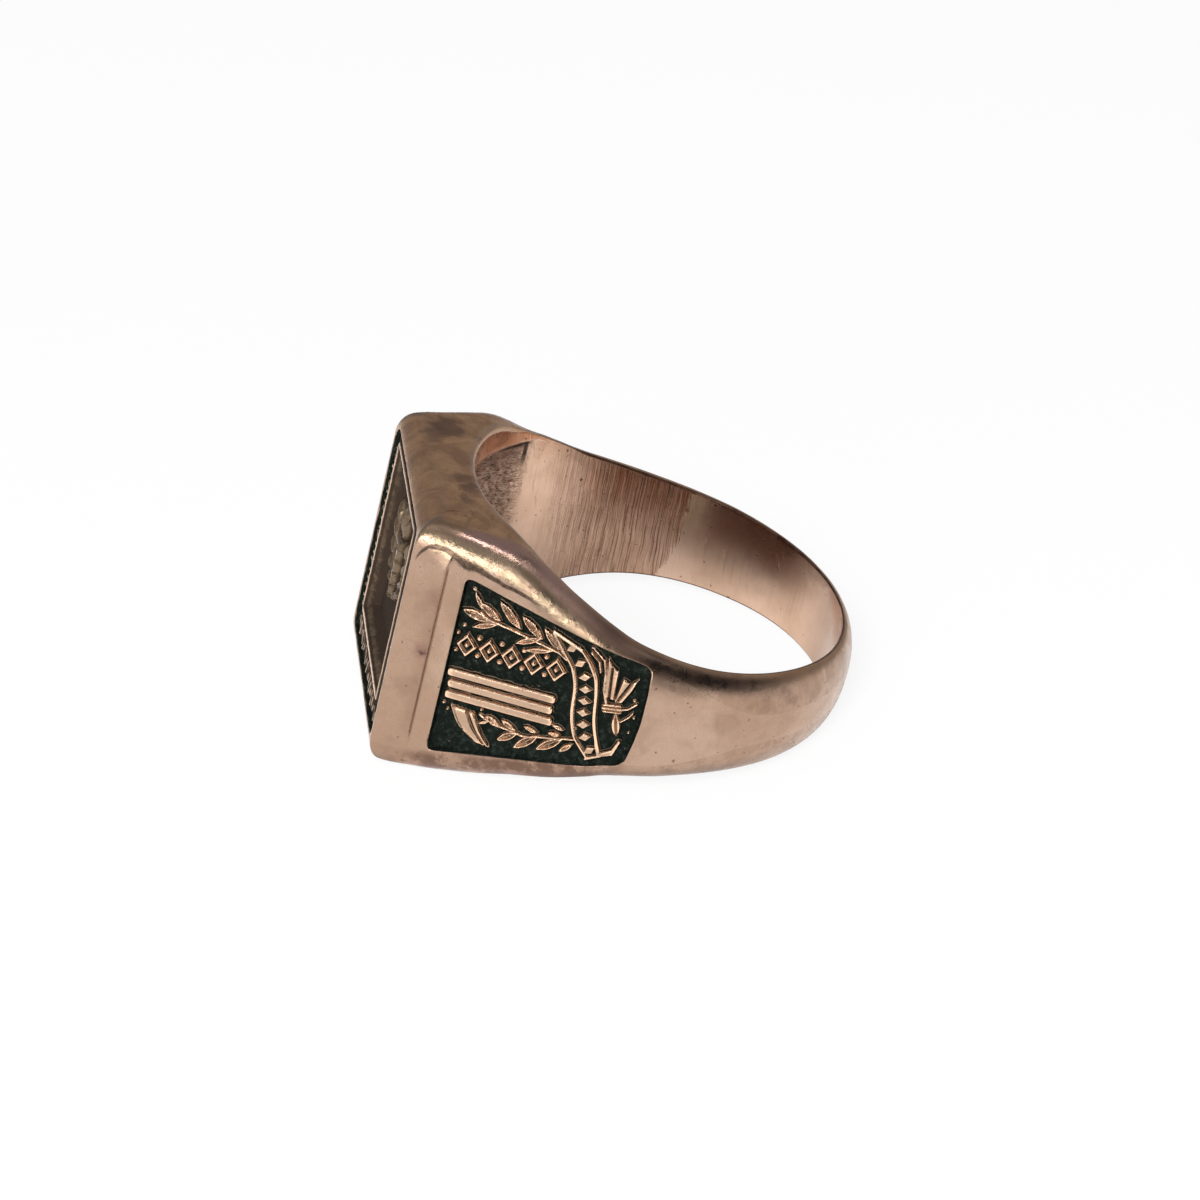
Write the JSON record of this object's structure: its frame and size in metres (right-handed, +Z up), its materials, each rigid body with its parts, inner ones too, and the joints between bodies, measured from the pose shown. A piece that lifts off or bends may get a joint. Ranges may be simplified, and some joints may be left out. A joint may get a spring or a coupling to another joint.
{
  "type": "signet ring",
  "caption": "Cast signet ring in the class ring form, worn rose gold, square bezel, sunk ornament on both shoulders, lying on its side.",
  "frame": {"origin": "centre of the bounding box at the table", "axes": "+Z up from the table, -X towards the bezel, -Y towards the shoulder that faces the camera"},
  "size_m": [0.0248, 0.022, 0.0134],
  "materials": {
    "gold": "satin"
  },
  "bodies": {
    "root": {"ring": "gold"}
  },
  "joints": []
}
